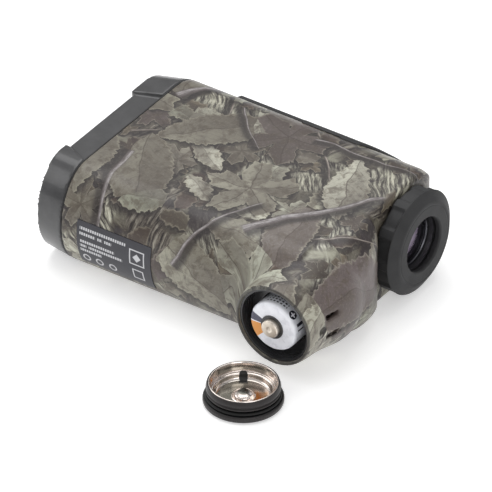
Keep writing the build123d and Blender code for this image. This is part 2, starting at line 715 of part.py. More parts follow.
save(
    turned_at_cap(
        [
            (0, 0),
            (CAP_R - 0.5, 0),
            (CAP_R, 0.5),
            (CAP_R, CAP_FLANGE - 0.3),
            (CAP_R - 0.3, CAP_FLANGE),
            (GROOVE_R, CAP_FLANGE),
            (GROOVE_R, CAP_FLANGE + 1.3),
            (SKIRT_R, CAP_FLANGE + 1.55),
            (SKIRT_R, CAP_FLANGE + 1.95),
            (SKIRT_R - 0.45, CAP_FLANGE + 2.2),
            (SKIRT_R - 0.45, CAP_FLANGE + 2.5),
            (SKIRT_R, CAP_FLANGE + 2.8),
            (SKIRT_R, CAP_FLANGE + 3.3),
            (SKIRT_R - 0.4, CAP_HEIGHT - 0.4),
            (CUP_INNER + 0.3, CAP_HEIGHT - 0.4),
            (CUP_INNER + 0.3, 3.4),
            (8.6, 3.4),
            (8.6, 1.4),
            (0, 1.4),
        ]
    ),
    "cap_shell",
)
save(
    turned_at_cap(
        [
            (0, 1.4),
            (8.6, 1.4),
            (8.6, 3.4),
            (CUP_INNER + 0.3, 3.4),
            (CUP_INNER + 0.3, CAP_HEIGHT - 0.4),
            (CUP_R, CAP_HEIGHT - 0.4),
            (CUP_R, CAP_HEIGHT),
            (CUP_INNER, CAP_HEIGHT),
            (CUP_INNER - 0.1, 3.8),
            (8.2, 3.7),
            (8.2, 1.8),
            (0, 1.8),
        ]
    ),
    "cap_contact_cup",
)
DOME_R, DOME_HEIGHT, CUP_FLOOR = 3.45, 1.7, 1.8
dome_sphere = (DOME_R**2 + DOME_HEIGHT**2) / (2 * DOME_HEIGHT)
with BuildPart() as dome:
    with Locations((CAP_X, CAP_Y, CUP_FLOOR + DOME_HEIGHT - dome_sphere)):
        Sphere(dome_sphere)
    split(bisect_by=Plane.XY.offset(CUP_FLOOR), keep=Keep.TOP)
save(dome, "cap_contact_dome")

with BuildPart() as seal:
    with BuildSketch(Plane.XZ.offset(-CAP_Y)) as profile:
        with Locations((CAP_X + GROOVE_R + SEAL_SEAT, CAP_FLANGE + SEAL_SEAT)):
            Circle(SEAL_WIRE)
    revolve(profile.sketch, axis=Axis((CAP_X, CAP_Y, 0), (0, 0, 1)))
save(seal, "cap_seal_ring")
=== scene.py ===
import json
import math

import bmesh
import bpy
import numpy as np
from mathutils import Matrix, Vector


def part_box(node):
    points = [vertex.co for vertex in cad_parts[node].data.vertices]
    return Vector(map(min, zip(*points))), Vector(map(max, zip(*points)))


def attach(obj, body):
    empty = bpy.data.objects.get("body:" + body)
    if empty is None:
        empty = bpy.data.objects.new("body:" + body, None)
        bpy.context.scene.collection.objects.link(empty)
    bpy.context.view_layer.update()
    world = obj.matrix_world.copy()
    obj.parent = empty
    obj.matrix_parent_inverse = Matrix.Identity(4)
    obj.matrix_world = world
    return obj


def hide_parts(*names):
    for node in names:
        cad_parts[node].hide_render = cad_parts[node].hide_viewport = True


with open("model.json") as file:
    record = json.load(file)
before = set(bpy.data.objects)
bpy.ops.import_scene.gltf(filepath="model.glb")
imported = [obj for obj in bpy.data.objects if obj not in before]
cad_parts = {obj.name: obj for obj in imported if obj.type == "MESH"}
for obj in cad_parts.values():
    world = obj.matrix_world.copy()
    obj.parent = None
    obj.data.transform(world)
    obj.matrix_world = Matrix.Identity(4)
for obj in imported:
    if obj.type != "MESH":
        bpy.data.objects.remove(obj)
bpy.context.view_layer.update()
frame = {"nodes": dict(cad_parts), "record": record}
NODES = frame["nodes"]
MM = 0.001

# --- where the main parts are, in millimetres, read from the frame -------------------------


def span(node):
    """Lowest and highest corner of a CAD node in millimetres."""
    low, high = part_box(node)
    return [v / MM for v in low], [v / MM for v in high]


EYE_LOW, EYE_HIGH = span("rubber_eyecup")
MID = (EYE_LOW[2] + EYE_HIGH[2]) / 2
EYECUP_R = (EYE_HIGH[2] - EYE_LOW[2]) / 2
BODY_LOW, BODY_HIGH = span("main_housing")
THICK = BODY_HIGH[2]
CELL_LOW, CELL_HIGH = span("battery_cell")
GRIP_X = (CELL_LOW[0] + CELL_HIGH[0]) / 2
CELL_R = (CELL_HIGH[0] - CELL_LOW[0]) / 2
MOUTH = BODY_LOW[1]
CAP_LOW, CAP_HIGH = span("cap_shell")
CAP_X, CAP_Y = (CAP_LOW[0] + CAP_HIGH[0]) / 2, (CAP_LOW[1] + CAP_HIGH[1]) / 2
HALF = THICK / 2
TOP_CENTRE, TOP_END = 6.4, 14.5  # Y centre and depth of the rounded top end
LOW_CENTRE, LOW_END = -39.1, 12.5  # and of the rounded lower end
DRAIN_Y = -51.9  # Y of the small recess in the heel beside the mouth


# --- a small language for shader nodes ---------------------------------------------------
def operation(op):
    """A method that puts one Math node behind the socket."""

    def method(self, *others):
        return self._math(op, *others)

    return method


class Sock:
    """A shader node output with arithmetic."""

    def __init__(self, tree, out):
        self.tree, self.out = tree, out

    def _math(self, op, *others):
        node = self.tree.nodes.new("ShaderNodeMath")
        node.operation = op
        for i, v in enumerate((self,) + others):
            put(self.tree, node.inputs[i], v)
        return Sock(self.tree, node.outputs[0])

    __add__ = __radd__ = operation("ADD")
    __sub__ = operation("SUBTRACT")
    __mul__ = __rmul__ = operation("MULTIPLY")
    __truediv__ = operation("DIVIDE")
    power = operation("POWER")
    mod = operation("FLOORED_MODULO")
    over = operation("GREATER_THAN")
    atan2 = operation("ARCTAN2")
    least = operation("MINIMUM")
    most = operation("MAXIMUM")
    sin = operation("SINE")
    cos = operation("COSINE")
    size = operation("ABSOLUTE")
    root = operation("SQRT")
    whole = operation("FLOOR")

    def __rsub__(self, o):
        return self._math("MULTIPLY", -1.0)._math("ADD", o)

    def step(self, low, high):
        """0 below low, 1 above high, smooth between. low may be above high."""
        node = self.tree.nodes.new("ShaderNodeMapRange")
        node.interpolation_type = "SMOOTHSTEP"
        flip = low > high
        put(self.tree, node.inputs["Value"], self)
        put(self.tree, node.inputs["From Min"], min(low, high))
        put(self.tree, node.inputs["From Max"], max(low, high))
        put(self.tree, node.inputs["To Min"], 1.0 if flip else 0.0)
        put(self.tree, node.inputs["To Max"], 0.0 if flip else 1.0)
        return Sock(self.tree, node.outputs["Result"])


def put(tree, socket, value):
    """Links a node output to a socket, or sets the socket's own value."""
    if isinstance(value, Sock):
        tree.links.new(value.out, socket)
    elif isinstance(value, (tuple, list)) and len(value) == 3 and socket.type == "RGBA":
        socket.default_value = (*value, 1.0)
    else:
        socket.default_value = value


CELL_SPREAD = 0.8  # how far a leaf may lie from its cell's middle
MIX_A, MIX_B, MIX_OUT = 6, 7, 2  # the colour sockets of a Mix node


class Paint:
    """Builds one material."""

    def __init__(self, name):
        self.mat = bpy.data.materials.new(name)
        self.mat.use_nodes = True
        self.tree = self.mat.node_tree
        self.shader = self.tree.nodes["Principled BSDF"]

    def new(self, kind):
        """A new node of this kind."""
        return self.tree.nodes.new(kind)

    def sock(self, out):
        return Sock(self.tree, out)

    def split(self, vector):
        """The three components of a vector."""
        node = self.new("ShaderNodeSeparateXYZ")
        put(self.tree, node.inputs[0], vector)
        return [self.sock(o) for o in node.outputs]

    def join(self, x, y, z=0.0):
        """A vector from its components."""
        node = self.new("ShaderNodeCombineXYZ")
        for i, v in enumerate((x, y, z)):
            put(self.tree, node.inputs[i], v)
        return self.sock(node.outputs[0])

    def place(self):
        """The piece's own coordinates in millimetres."""
        node = self.new("ShaderNodeTexCoord")
        scale = self.new("ShaderNodeVectorMath")
        scale.operation = "SCALE"
        put(self.tree, scale.inputs[0], self.sock(node.outputs["Object"]))
        scale.inputs["Scale"].default_value = 1.0 / MM
        return self.sock(scale.outputs[0])

    def attribute(self, name):
        """Coordinates stored on the mesh under this name."""
        node = self.new("ShaderNodeAttribute")
        node.attribute_name = name
        return self.sock(node.outputs["Vector"])

    def noise(self, vector, scale, detail=3.0, rough=0.55, twist=0.0):
        """Soft noise, 0 to 1 and mostly near a half."""
        node = self.new("ShaderNodeTexNoise")
        put(self.tree, node.inputs["Vector"], vector)
        node.inputs["Scale"].default_value = scale
        node.inputs["Detail"].default_value = detail
        node.inputs["Roughness"].default_value = rough
        node.inputs["Distortion"].default_value = twist
        return self.sock(node.outputs["Fac"])

    def cells(self, vector):
        """The nearest random cell: its centre and three random numbers."""
        node = self.new("ShaderNodeTexVoronoi")
        node.voronoi_dimensions = "2D"
        node.feature = "F1"
        put(self.tree, node.inputs["Vector"], vector)
        node.inputs["Scale"].default_value = 1.0
        node.inputs["Randomness"].default_value = CELL_SPREAD
        parts = self.new("ShaderNodeSeparateColor")
        self.tree.links.new(node.outputs["Color"], parts.inputs[0])
        return self.split(self.sock(node.outputs["Position"])), [
            self.sock(o) for o in parts.outputs
        ]

    def mix(self, share, a, b, how="MIX"):
        """Colour a where share is 0, and colour b, or a blended with b, where it is 1."""
        node = self.new("ShaderNodeMix")
        node.data_type = "RGBA"
        node.blend_type = how
        node.clamp_factor = True
        put(self.tree, node.inputs[0], share)
        put(self.tree, node.inputs[MIX_A], a)
        put(self.tree, node.inputs[MIX_B], b)
        return self.sock(node.outputs[MIX_OUT])

    def ramp(self, value, stops):
        """A colour from a list of (position, colour)."""
        node = self.new("ShaderNodeValToRGB")
        put(self.tree, node.inputs[0], value)
        elements = node.color_ramp.elements
        while len(elements) < len(stops):
            elements.new(0.5)
        for element, (at, colour) in zip(elements, stops):
            element.position = at
            element.color = (*colour, 1.0)
        return self.sock(node.outputs[0])

    def bump(self, height, strength, distance):
        """Fine relief on the shader's normal, with the distance in millimetres."""
        node = self.new("ShaderNodeBump")
        node.inputs["Strength"].default_value = strength
        node.inputs["Distance"].default_value = distance * MM
        put(self.tree, node.inputs["Height"], height)
        self.tree.links.new(node.outputs[0], self.shader.inputs["Normal"])

    def set(self, **values):
        """Sets the shader's sockets. An underscore in a name stands for a space."""
        for name, value in values.items():
            put(self.tree, self.shader.inputs[name.replace("_", " ")], value)
        return self.mat


def shade(light, colour):
    """The colour made lighter or darker."""
    return tuple(light * c for c in colour)


# --- materials ---------------------------------------------------------------------------
SHADOW = (0.045, 0.036, 0.034)
BROWN = (0.085, 0.066, 0.055)
BLOTCH = (0.115, 0.095, 0.075)  # dry patches in a leaf
LEAF_EDGE = (0.36, 0.34, 0.28)
DUSK = (0.062, 0.050, 0.052)  # deep shade between the leaves
DRIFT = (0.095, 0.080, 0.072)  # brown haze over all of the print
FLECK = (0.38, 0.365, 0.32)
RECESS_SHADE = (0.028, 0.025, 0.022)
RIM_DARK = (0.03, 0.028, 0.026)
GROUND = [(0.34, SHADOW), (0.44, (0.10, 0.085, 0.070)), (0.54, (0.17, 0.158, 0.130)),
          (0.66, (0.26, 0.25, 0.205))]
PALE_BARK = [(0.38, SHADOW), (0.45, (0.11, 0.098, 0.085)), (0.52, (0.25, 0.24, 0.20)),
             (0.60, (0.40, 0.385, 0.325))]
DULL_BARK = [(0.40, SHADOW), (0.50, (0.15, 0.133, 0.113)), (0.60, (0.28, 0.262, 0.225))]
BROWN_LEAVES = [(0.0, (0.075, 0.055, 0.052)), (0.35, (0.135, 0.105, 0.088)),
                (0.6, (0.10, 0.088, 0.072)), (0.85, (0.20, 0.175, 0.135))]
GREEN_LEAVES = [(0.0, (0.25, 0.25, 0.205)), (0.25, (0.43, 0.42, 0.36)),
                (0.5, (0.125, 0.10, 0.098)), (0.7, (0.33, 0.32, 0.265)),
                (0.88, (0.20, 0.185, 0.155))]
TWIG_LIGHT, TWIG_DARK = (0.34, 0.31, 0.275), (0.10, 0.082, 0.074)
BRANCH_LIGHT, BRANCH_DARK = (0.33, 0.31, 0.30), (0.105, 0.088, 0.083)
# Start and end in film coordinates, half width at the start, wander; all in millimetres.
TWIGS = (
    ((-40.0, -44.0), (-8.0, -12.0), 0.5, 6.0),
    ((2.0, 16.0), (34.0, -22.0), 0.55, 7.0),
    ((-26.0, 18.0), (-8.0, -26.0), 0.45, 5.0),
    ((30.0, -40.0), (54.0, -18.0), 0.5, 4.0),
    ((-38.0, -20.0), (-14.0, -2.0), 0.4, 5.0),
)
BRANCHES = (
    ((-37.0, 2.0), (-26.0, 24.0), 1.6, 3.0),
    ((16.0, -42.0), (41.0, -6.0), 1.7, 5.0),
    ((-32.0, -28.0), (-27.0, -62.0), 1.0, 3.0),
    ((-2.0, -60.0), (14.0, -28.0), 0.8, 6.0),
    ((8.0, 6.0), (46.0, 8.0), 0.5, 7.0),
    ((-18.0, 8.0), (-2.0, -8.0), 0.4, 5.0),
)
FILM_WARP = 4.0  # how far the print is pulled about, mm
PRINT_GAMMA, PRINT_GAIN = 1.6, (2.04, 2.10, 2.21)
HEEL_GAIN = (1.45, 1.48, 1.52)  # the heel and the tube are printed paler


def leaf(x, y, turn, radius, lobed, ragged):
    """One leaf about the local origin: depth inside its edge, vein and light, all node outputs."""
    u = x * turn.cos() + y * turn.sin()
    w = y * turn.cos() - x * turn.sin()
    angle = w.atan2(u)
    far = (u * u + w * w).root()
    # A leaf with five toothed lobes, then a long one with notches; lobed picks between them.
    lobes = (angle * 2.5).cos().size()
    teeth = (1.0 - (angle * 8.5).sin().size()) * 0.15
    depth_maple = (lobes * 0.58 + 0.32 + teeth) * radius - far
    reach = u / (radius * 1.3)
    notch = (1.0 - (u * 1.3).sin().size()) * 0.6
    depth_long = (1.0 - reach * reach) * radius * 0.5 - w.size() + notch
    depth = depth_maple * lobed + depth_long * (1.0 - lobed) + ragged
    # One vein down each lobe; a midrib with side veins on the long one.
    rib = (angle * 2.5).sin().size() * far * 0.4
    twigs = ((u + w.size() * 1.3) * 1.1).sin().size() * 0.9 + 0.12
    vein = rib * lobed + w.size().least(twigs) * (1.0 - lobed)
    # One half of each lobe or leaf is lighter, and so is one end.
    halves = (angle * 5.0).sin() * lobed * 0.7 + w * (1.0 - lobed)
    light = halves.step(-0.7, 0.7) * 0.45 + (u / radius).step(-1.1, 1.1) * 0.55
    return depth, vein.step(0.26, 0.04), light, far


def leaf_layer(p, x, y, cell, radius, shift, wanted, colours, under, ragged, veins=0.35):
    """Scatters leaves one to a cell over the colour under them."""
    cx, cy = x / cell + shift[0], y / cell + shift[1]
    centre, (r1, r2, r3) = p.cells(p.join(cx, cy))
    dx, dy = (cx - centre[0]) * cell, (cy - centre[1]) * cell
    lobed = r2.over(0.40)
    size = r3 * 0.5 * radius + radius * 0.75
    depth, vein, light, far = leaf(dx, dy, r1 * 2 * math.pi, size, lobed, ragged)
    there = (r2 * 7.0 + r3 * 5.0).mod(1.0).over(1.0 - wanted)
    inside = depth.step(-0.10, 0.10) * there
    below = ((dx * 0.6 - dy * 0.8) / (far + 0.5)).step(-0.9, 0.6) * 0.75 + 0.15
    near = depth.step(-3.4, 0.3) * there * below
    shadowed = p.mix(near, under, SHADOW)
    tone = p.ramp((r1 * 3.0 + r3 * 2.0).mod(1.0), colours)
    tone = p.mix(light, p.mix(0.62, tone, BROWN), tone)
    blotch = p.noise(p.join(dx + r1 * 40.0, dy), 0.30, 5.0, 0.7, 0.4)
    tone = p.mix(blotch.step(0.48, 0.62) * 0.55, tone, BLOTCH)
    tone = p.mix(depth.step(0.9, 0.1) * 0.35, tone, LEAF_EDGE)
    tone = p.mix(vein * veins, tone, BROWN)
    return p.mix(inside, shadowed, tone)


def branch(p, x, y, start, end, thick, wander, under, light, dark):
    """A twig from start to end that tapers, lit along one side."""
    run = (end[0] - start[0], end[1] - start[1])
    length = math.hypot(*run)
    ux, uy = run[0] / length, run[1] / length
    dx, dy = x - start[0], y - start[1]
    along = dx * ux + dy * uy
    wave = p.noise(p.join(along * 0.055 + start[0], start[1]), 1.0, 1.5) * wander
    across = dy * ux - dx * uy + wave - wander / 2
    grain = p.noise(p.join(along * 0.30, across * 1.9), 1.0, 4.0, 0.65)
    half = along * (-0.5 * thick / length) + thick + (grain - 0.5) * 0.55
    ends = along.step(-0.4, 0.6) * (length - along).step(-0.4, 2.5)
    inside = (half - across.size()).step(-0.05, 0.25) * ends
    round_light = (across / half + 1.0) * 0.5
    colour = p.mix(round_light.step(0.05, 0.75), dark, light)
    colour = p.mix(round_light.step(0.8, 1.0) * 0.5, colour, dark)
    colour = p.mix(grain.step(0.42, 0.62) * 0.6, colour, dark)
    cast = (half + 1.5 - (across + 1.1).size()).step(-0.4, 1.8) * ends
    return p.mix(inside, p.mix(cast * 0.75, under, SHADOW), colour)


def bark(p, x, y, turn, across_scale, along_scale):
    """Long broken streaks running along one direction, 0 to 1."""
    c, s = math.cos(turn), math.sin(turn)
    along, across = x * c + y * s, y * c - x * s
    bend = p.noise(p.join(x, y), 0.05, 1.0) * 3.0
    return p.noise(
        p.join(along * along_scale, (across + bend) * across_scale), 1.0, 5.0, 0.7)


def camo():
    """A printed woodland film: shade, bark, leaf litter, twigs, large leaves and branches."""
    p = Paint("camo_film")
    x0, y0, _ = p.split(p.attribute("film"))
    x_place, y_place, z_place = p.split(p.place())
    flat0 = p.join(x0, y0)
    x = x0 + (p.noise(flat0, 0.10, 2.0) - 0.5) * FILM_WARP
    y = y0 + (p.noise(p.join(y0, x0), 0.10, 2.0) - 0.5) * FILM_WARP
    flat = p.join(x, y)
    ragged = (p.noise(flat, 0.45, 5.0, 0.75) - 0.5) * 4.2
    base = p.ramp(p.noise(flat, 0.10, 5.0, 0.65, 0.8), GROUND)
    wide = p.noise(flat, 0.042, 2.0)
    pale_bark = p.ramp(bark(p, x, y, -0.95, 0.95, 0.13), PALE_BARK)
    base = p.mix(wide.step(0.50, 0.54), base, pale_bark)
    dull_bark = p.ramp(bark(p, x, y, 1.35, 0.85, 0.11), DULL_BARK)
    base = p.mix(wide.step(0.45, 0.41), base, dull_bark)
    patch = p.noise(p.join(y, x), 0.055, 3.0, 0.6)
    base = p.mix(patch.step(0.56, 0.60) * 0.85, base, DUSK)
    look = leaf_layer(p, x, y, 8.0, 4.4, (3.3, 8.1), 0.5, BROWN_LEAVES, base, ragged * 0.5)
    for line in TWIGS:
        look = branch(p, x0, y0, *line, look, TWIG_LIGHT, TWIG_DARK)
    look = leaf_layer(p, x, y, 14.0, 7.6, (1.7, 5.4), 0.56, GREEN_LEAVES, look, ragged * 0.8)
    look = leaf_layer(p, x, y, 27.0, 14.5, (6.15, 2.45), 0.68, GREEN_LEAVES, look, ragged, 0.6)
    for line in BRANCHES:
        look = branch(p, x0, y0, *line, look, BRANCH_LIGHT, BRANCH_DARK)
    drift = p.noise(flat, 0.28, 6.0, 0.75)
    look = p.mix(drift.step(0.47, 0.66) * 0.32, look, DRIFT)
    fine = p.noise(flat, 1.3, 5.0, 0.75)
    look = p.mix(fine.step(0.50, 0.72) * 0.20, look, FLECK)
    deep = p.new("ShaderNodeGamma")
    put(p.tree, deep.inputs[0], look)
    deep.inputs[1].default_value = PRINT_GAMMA
    look = p.mix(1.0, p.sock(deep.outputs[0]), PRINT_GAIN, "MULTIPLY")
    heel = y_place.step(-16.0, -36.0) * x_place.step(14.0, 28.0)
    heel = heel * 0.9 + y_place.step(-38.0, -50.0) * 0.1
    look = p.mix(heel, look, HEEL_GAIN, "MULTIPLY")
    # Painted shade: the small recess in the heel beside the mouth is darkened.
    recess_shade = (y_place - DRAIN_Y).size().step(1.45, 1.2)
    recess_shade = recess_shade * (z_place - MID - 0.2).size().step(1.2, 1.0)
    look = p.mix(recess_shade * x_place.step(47.0, 48.0) * 0.75, look, RECESS_SHADE)
    rim = y_place.step(MOUTH + 0.75, MOUTH + 0.35) * 0.8
    look = p.mix(rim, look, RIM_DARK)
    p.bump(p.noise(p.place(), 1.1, 3.0), 0.10, 0.10)
    rough = p.noise(p.place(), 0.4, 3.0) * 0.14 + 0.34
    return p.set(Base_Color=look, Roughness=rough, Specular_IOR_Level=0.4,
                 Coat_Weight=0.12, Coat_Roughness=0.28)


def plastic(name, colour, rough, grain=2.2, depth=0.05, coat=0.0):
    """Moulded plastic with fine grain, faint mottling and slightly uneven gloss."""
    p = Paint(name)
    place = p.place()
    cloud = p.noise(place, 0.18, 3.0)
    tone = p.mix(cloud.step(0.35, 0.7), shade(0.82, colour), shade(1.15, colour))
    fine = p.noise(place, grain, 4.0, 0.65)
    tone = p.mix(fine.step(0.5, 0.8) * 0.25, tone, shade(1.5, colour))
    p.bump(fine, 0.35, depth)
    return p.set(Base_Color=tone, Roughness=cloud * 0.08 + rough, Coat_Weight=coat)


def rubber(name, colour):
    """Matte rubber: dusty pale speckle, fine pores and very little gloss."""
    p = Paint(name)
    place = p.place()
    dust = p.noise(place, 0.9, 5.0, 0.7)
    cloud = p.noise(place, 0.12, 2.0)
    tone = p.mix(cloud.step(0.35, 0.68), shade(0.85, colour), shade(1.2, colour))
    tone = p.mix(dust.step(0.55, 0.8) * 0.35, tone, shade(1.9, colour))
    p.bump(p.noise(place, 3.2, 4.0, 0.7), 0.4, 0.06)
    return p.set(Base_Color=tone, Roughness=dust * 0.15 + 0.55, Specular_IOR_Level=0.35)


def metal(name, colour, rough, brushed=0.0):
    """Plated or anodised metal with faint turning marks and smudges."""
    p = Paint(name)
    place = p.place()
    smudge = p.noise(place, 0.35, 4.0, 0.65)
    tone = p.mix(smudge.step(0.4, 0.75) * 0.6, colour, shade(0.72, colour))
    fine = p.noise(place, 4.0, 3.0)
    p.bump(fine, 0.15 + brushed, 0.02)
    return p.set(Base_Color=tone, Roughness=smudge * 0.22 + rough, Metallic=1.0)


def glass(name, colour, through):
    """Coated glass: tinted, very smooth, with faint dust."""
    p = Paint(name)
    dust = p.noise(p.place(), 2.5, 5.0, 0.8)
    tone = p.mix(dust.step(0.6, 0.85) * 0.2, colour, shade(1.6, colour))
    return p.set(Base_Color=tone, Roughness=dust * 0.06 + 0.02, IOR=1.6,
                 Transmission_Weight=through, Coat_Weight=1.0, Coat_Roughness=0.03)


def board():
    """Green solder mask with copper tracks and tinned pads."""
    p = Paint("circuit_board")
    x, y, _ = p.split(p.place())
    tracks = (x * 1.9).sin().size().step(0.9, 0.97)
    tracks = tracks * p.noise(p.place(), 0.16, 1.0).step(0.45, 0.5)
    tone = p.mix(tracks, (0.015, 0.10, 0.04), (0.03, 0.20, 0.08))
    pads = ((x * 2.4).sin() * (y * 2.4).sin()).step(0.93, 0.97)
    tone = p.mix(pads, tone, (0.55, 0.48, 0.30))
    p.bump(tracks, 0.3, 0.05)
    return p.set(Base_Color=tone, Roughness=tracks * 0.1 + 0.3)


MATS = {
    "camo_shell": camo(),
    "black_plastic": plastic("black_plastic", (0.030, 0.030, 0.032), 0.30, coat=0.1),
    "black_rubber": rubber("black_rubber", (0.030, 0.030, 0.031)),
    "black_metal": metal("black_metal", (0.05, 0.05, 0.055), 0.28),
    "coated_glass": glass("coated_glass", (0.34, 0.20, 0.42), 0.88),
    "steel": metal("steel", (0.58, 0.58, 0.60), 0.22, 0.1),
    "nickel": metal("nickel", (0.66, 0.605, 0.565), 0.07),
    "circuit_board": board(),
    "ribbon_film": plastic("ribbon_film", (0.36, 0.17, 0.03), 0.3),
}


# --- meshes ------------------------------------------------------------------------------
def finish_piece(obj, body, material, replaced):
    """Gives a piece its material and body, and hides the CAD nodes it replaces."""
    obj.data.materials.clear()
    obj.data.materials.append(material)
    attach(obj, body)
    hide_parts(*replaced)


def new_object(name, data):
    """An object in the scene around a mesh, light or camera."""
    obj = bpy.data.objects.new(name, data)
    bpy.context.scene.collection.objects.link(obj)
    return obj


CUT_LIMIT = 0.45  # the share of a side that one corner's rounding may take


def rounded(points, radius, steps=3, closed=True):
    """A polygon with its corners rounded. A point may carry its own radius as third value."""
    out = []
    count = len(points)
    for i, point in enumerate(points):
        here = Vector(point[:2])
        r = point[2] if len(point) > 2 else radius
        if not closed and i in (0, count - 1) or r <= 0:
            out.append(tuple(here))
            continue
        before, after = Vector(points[i - 1][:2]), Vector(points[(i + 1) % count][:2])
        a, b = before - here, after - here
        cut = min(r, a.length * CUT_LIMIT, b.length * CUT_LIMIT)
        pa, pb = here + a.normalized() * cut, here + b.normalized() * cut
        for k in range(steps + 1):
            t = k / steps
            out.append(tuple((1 - t) ** 2 * pa + 2 * t * (1 - t) * here + t * t * pb))
    return out


def lathe(name, axis, centre, profile, segments=160, shape=None, closed=True):
    """A profile of (distance along axis, radius) turned about an axis through centre."""
    rows = len(profile)
    verts, faces = [], []
    for i in range(segments):
        angle = 2 * math.pi * i / segments
        for along, radius in profile:
            if shape:
                along, radius = shape(along, radius, angle)
            c, s = radius * math.cos(angle), radius * math.sin(angle)
            spot = {"x": (along, c, s), "y": (s, along, c), "z": (c, s, along)}[axis]
            verts.append([(v + o) * MM for v, o in zip(spot, centre)])
    for i in range(segments):
        j = (i + 1) % segments
        for k in range(rows if closed else rows - 1):
            n = (k + 1) % rows
            faces.append((i * rows + k, j * rows + k, j * rows + n, i * rows + n))
    mesh = bpy.data.meshes.new(name)
    mesh.from_pydata(verts, [], faces)
    tidy_mesh(mesh)
    return soften(new_object(name, mesh))


def tidy_mesh(mesh):
    """Joins doubled points, drops faces of no size and turns all faces outwards."""
    work = bmesh.new()
    work.from_mesh(mesh)
    bmesh.ops.remove_doubles(work, verts=work.verts, dist=1e-7)
    bmesh.ops.dissolve_degenerate(work, edges=work.edges, dist=1e-8)
    bmesh.ops.recalc_face_normals(work, faces=work.faces)
    work.to_mesh(mesh)
    work.free()


SHARP_PIECE, SHARP_CAD = math.radians(38), math.radians(30)  # edges stay sharp beyond these


def soften(obj):
    """Smooth shading that keeps the sharp edges and the flat faces flat."""
    obj.data.shade_smooth()
    obj.data.set_sharp_from_angle(angle=SHARP_PIECE)
    weighted = obj.modifiers.new("even_normals", "WEIGHTED_NORMAL")
    weighted.keep_sharp = True
    return obj


def points_of(mesh):
    """The mesh's points as rows of x, y, z in millimetres."""
    flat = np.empty(len(mesh.vertices) * 3, np.float32)
    mesh.vertices.foreach_get("co", flat)
    return flat.reshape(-1, 3).astype(float) / MM


RELAX_IN, RELAX_OUT = 0.6, -0.55  # a smoothing push and the one that undoes its shrinking


def relax(mesh, weight, rounds):
    """Evens out the surface where weight is above 0, keeping its volume."""
    where = points_of(mesh)
    pairs = np.empty(len(mesh.edges) * 2, np.int32)
    mesh.edges.foreach_get("vertices", pairs)
    a, b = pairs.reshape(-1, 2).T
    count = np.maximum(np.bincount(np.r_[a, b], minlength=len(where)), 1)[:, None]
    share = weight(where)[:, None]
    for _ in range(rounds):
        for push in (RELAX_IN, RELAX_OUT):
            total = np.stack(
                [np.bincount(a, where[b, k], len(where)) + np.bincount(b, where[a, k], len(where))
                 for k in range(3)], axis=1)
            where = where + push * share * (total / count - where)
    mesh.vertices.foreach_set("co", (where * MM).astype(np.float32).ravel())
    mesh.update()


def skin(node, name, voxel, rounds, weight):
    """A CAD node's shape as an even mesh, voxel millimetres fine, with its edges worn soft."""
    mesh = NODES[node].data.copy()
    mesh.materials.clear()
    tidy_mesh(mesh)
    obj = new_object(name, mesh)
    grid = obj.modifiers.new("grid", "REMESH")
    grid.mode = "VOXEL"
    grid.voxel_size = voxel * MM
    grid.use_smooth_shade = True
    made = bpy.data.meshes.new_from_object(
        obj.evaluated_get(bpy.context.evaluated_depsgraph_get()))
    obj.modifiers.clear()
    obj.data = made
    made.name = name
    relax(made, weight, rounds)
    made.shade_smooth()
    return obj


# --- camouflaged housing -----------------------------------------------------------------
BORE_R, BORE_END = 12.2, -24  # the battery bore and its deepest Y
SLOTS_X, SLOTS_LOW, SLOTS_HIGH, SLOTS_HALF = 47.0, -54.0, -41.0, 6.5  # box round the cord slots
BORE_SHARE, SLOTS_SHARE = 0.15, 0.12


def smoothstep(value, low, high):
    """0 below low, 1 above high, smooth between."""
    t = np.clip((value - low) / (high - low), 0, 1)
    return t * t * (3 - 2 * t)


def housing_weight(where):
    """How far each point may be evened out: hardly in the bore, at the mouth and in the slots."""
    x, y, z = where.T
    round_mouth = np.hypot(x - GRIP_X, z - MID)
    near_mouth = 1 - smoothstep(y, MOUTH + 0.6, MOUTH + 2.5)
    inside_bore = (round_mouth < BORE_R) & (y < BORE_END)
    weight = np.ones(len(where))
    weight[inside_bore] = BORE_SHARE
    weight *= 1 - 0.9 * near_mouth
    weight *= 0.3 + 0.7 * smoothstep(x, BODY_LOW[0] + 0.2, BODY_LOW[0] + 1.5)
    across_slots = (y > SLOTS_LOW) & (y < SLOTS_HIGH) & (np.abs(z - MID) < SLOTS_HALF)
    weight[(x > SLOTS_X) & across_slots] = SLOTS_SHARE
    return weight


def quarter_arc(end):
    """Angles from the rounded end's tip, and the distance along its quarter ellipse to each."""
    turn = np.linspace(0, math.pi / 2, 200)
    step = np.hypot(end * np.sin(turn), HALF * np.cos(turn))
    return turn, np.r_[0, np.cumsum((step[1:] + step[:-1]) / 2 * np.diff(turn))]


